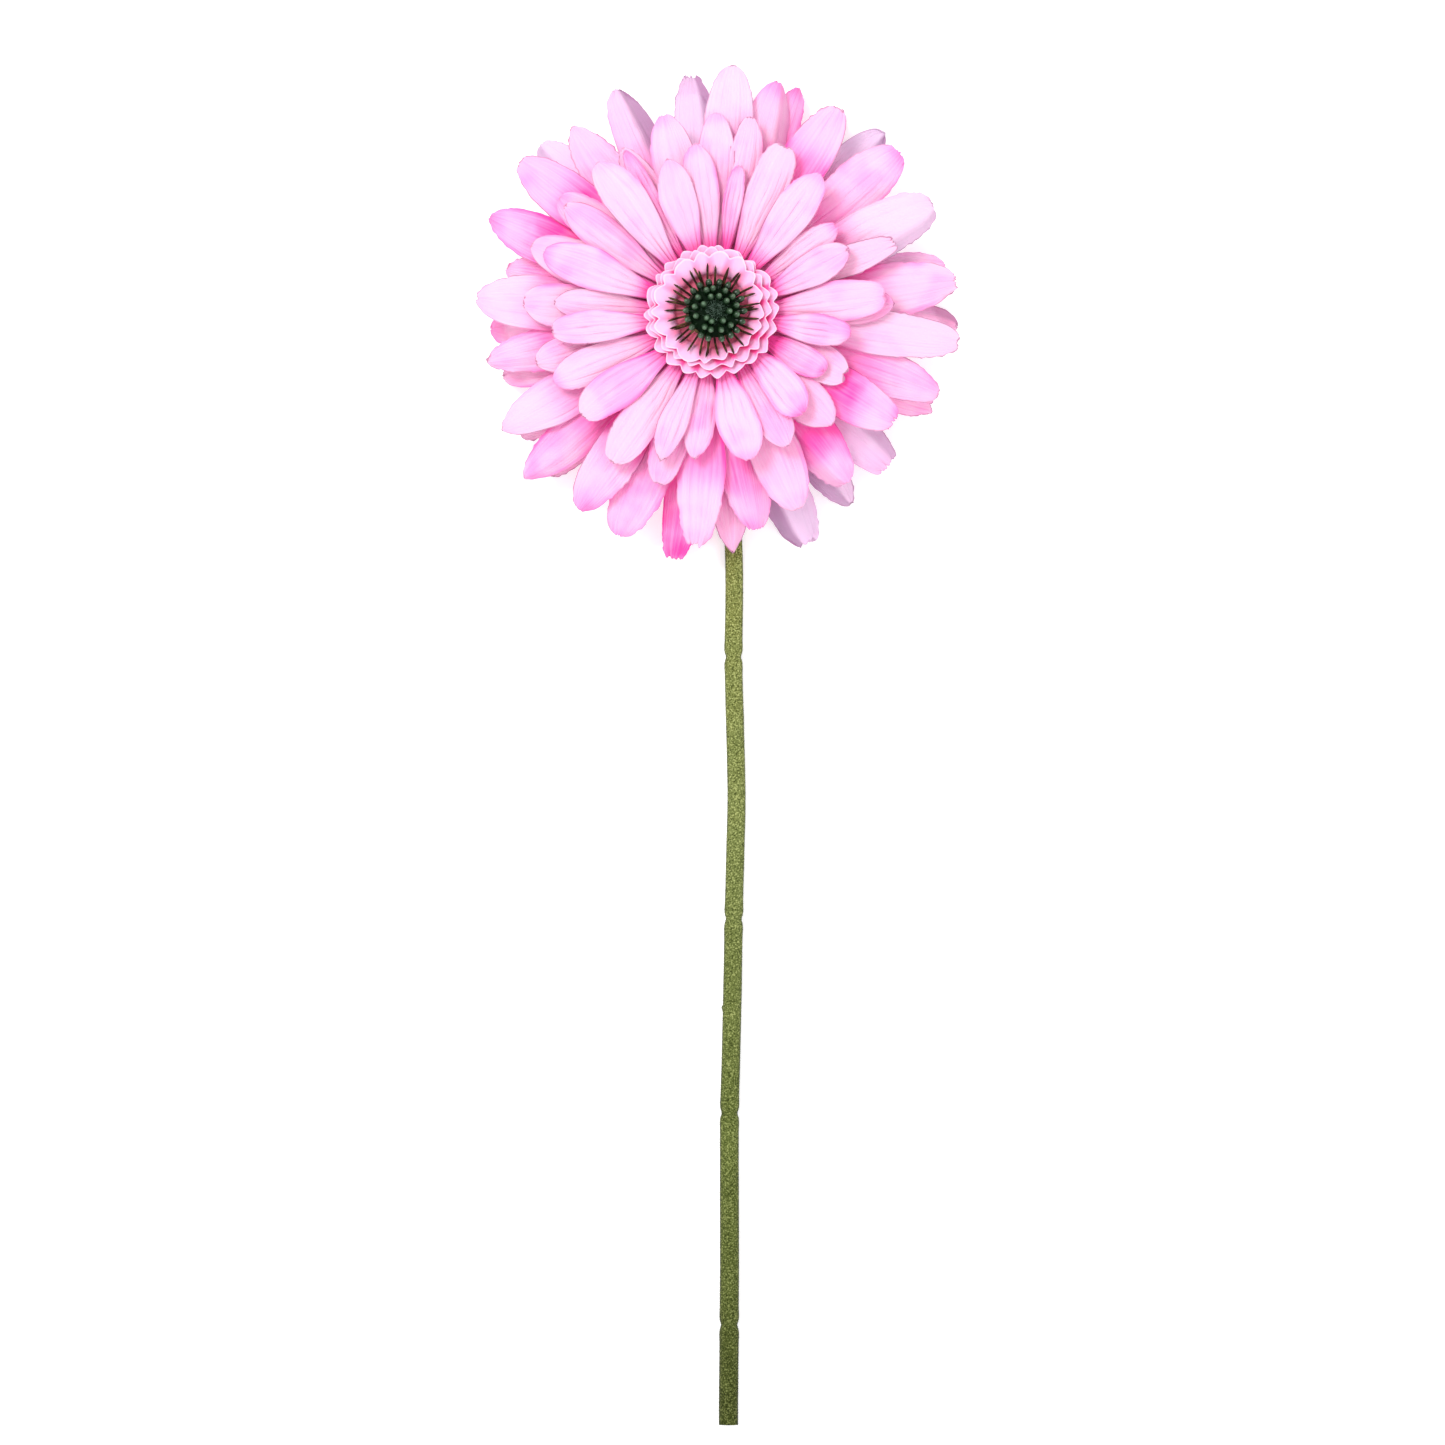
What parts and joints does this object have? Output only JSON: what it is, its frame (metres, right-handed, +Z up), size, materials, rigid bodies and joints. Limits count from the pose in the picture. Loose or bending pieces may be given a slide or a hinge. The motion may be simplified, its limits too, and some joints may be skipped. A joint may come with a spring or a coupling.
{
  "type": "artificial gerbera stem",
  "caption": "Pink artificial gerbera with layered fabric petals, a ruffled collar and a dark green centre, on a cut flocked wire stem that lies on a surface.",
  "frame": {"origin": "the middle of the whole object's footprint, on the surface it lies on", "axes": "+Z up, the way the bloom faces; the stem runs along -Y from the bloom; +X to the right as seen from above with the bloom at the far end"},
  "size_m": [0.1166, 0.326, 0.0323],
  "materials": {
    "petal_fabric": "matte printed fabric with pressed veins",
    "back_petal_fabric": "matte printed fabric",
    "collar_fabric": "matte pleated fabric",
    "stamen_plastic": "satin moulded",
    "button_plastic": "satin moulded with a fuzzy middle",
    "calyx_plastic": "satin moulded",
    "stem_flock": "flocked",
    "stem_wire": "drawn wire"
  },
  "bodies": {
    "root": {"petal_sheet_1_back": "back_petal_fabric", "petal_sheet_2_outer": "petal_fabric", "petal_sheet_3_outer": "petal_fabric", "petal_sheet_4_middle": "petal_fabric", "petal_sheet_5_inner": "petal_fabric", "petal_sheet_6_inner": "petal_fabric", "collar_outer": "collar_fabric", "collar_middle": "collar_fabric", "collar_inner": "collar_fabric", "stamen_ring": "stamen_plastic", "centre_button": "button_plastic", "calyx": "calyx_plastic", "stem_sleeve": "stem_flock", "stem_wire": "stem_wire"}
  },
  "joints": []
}
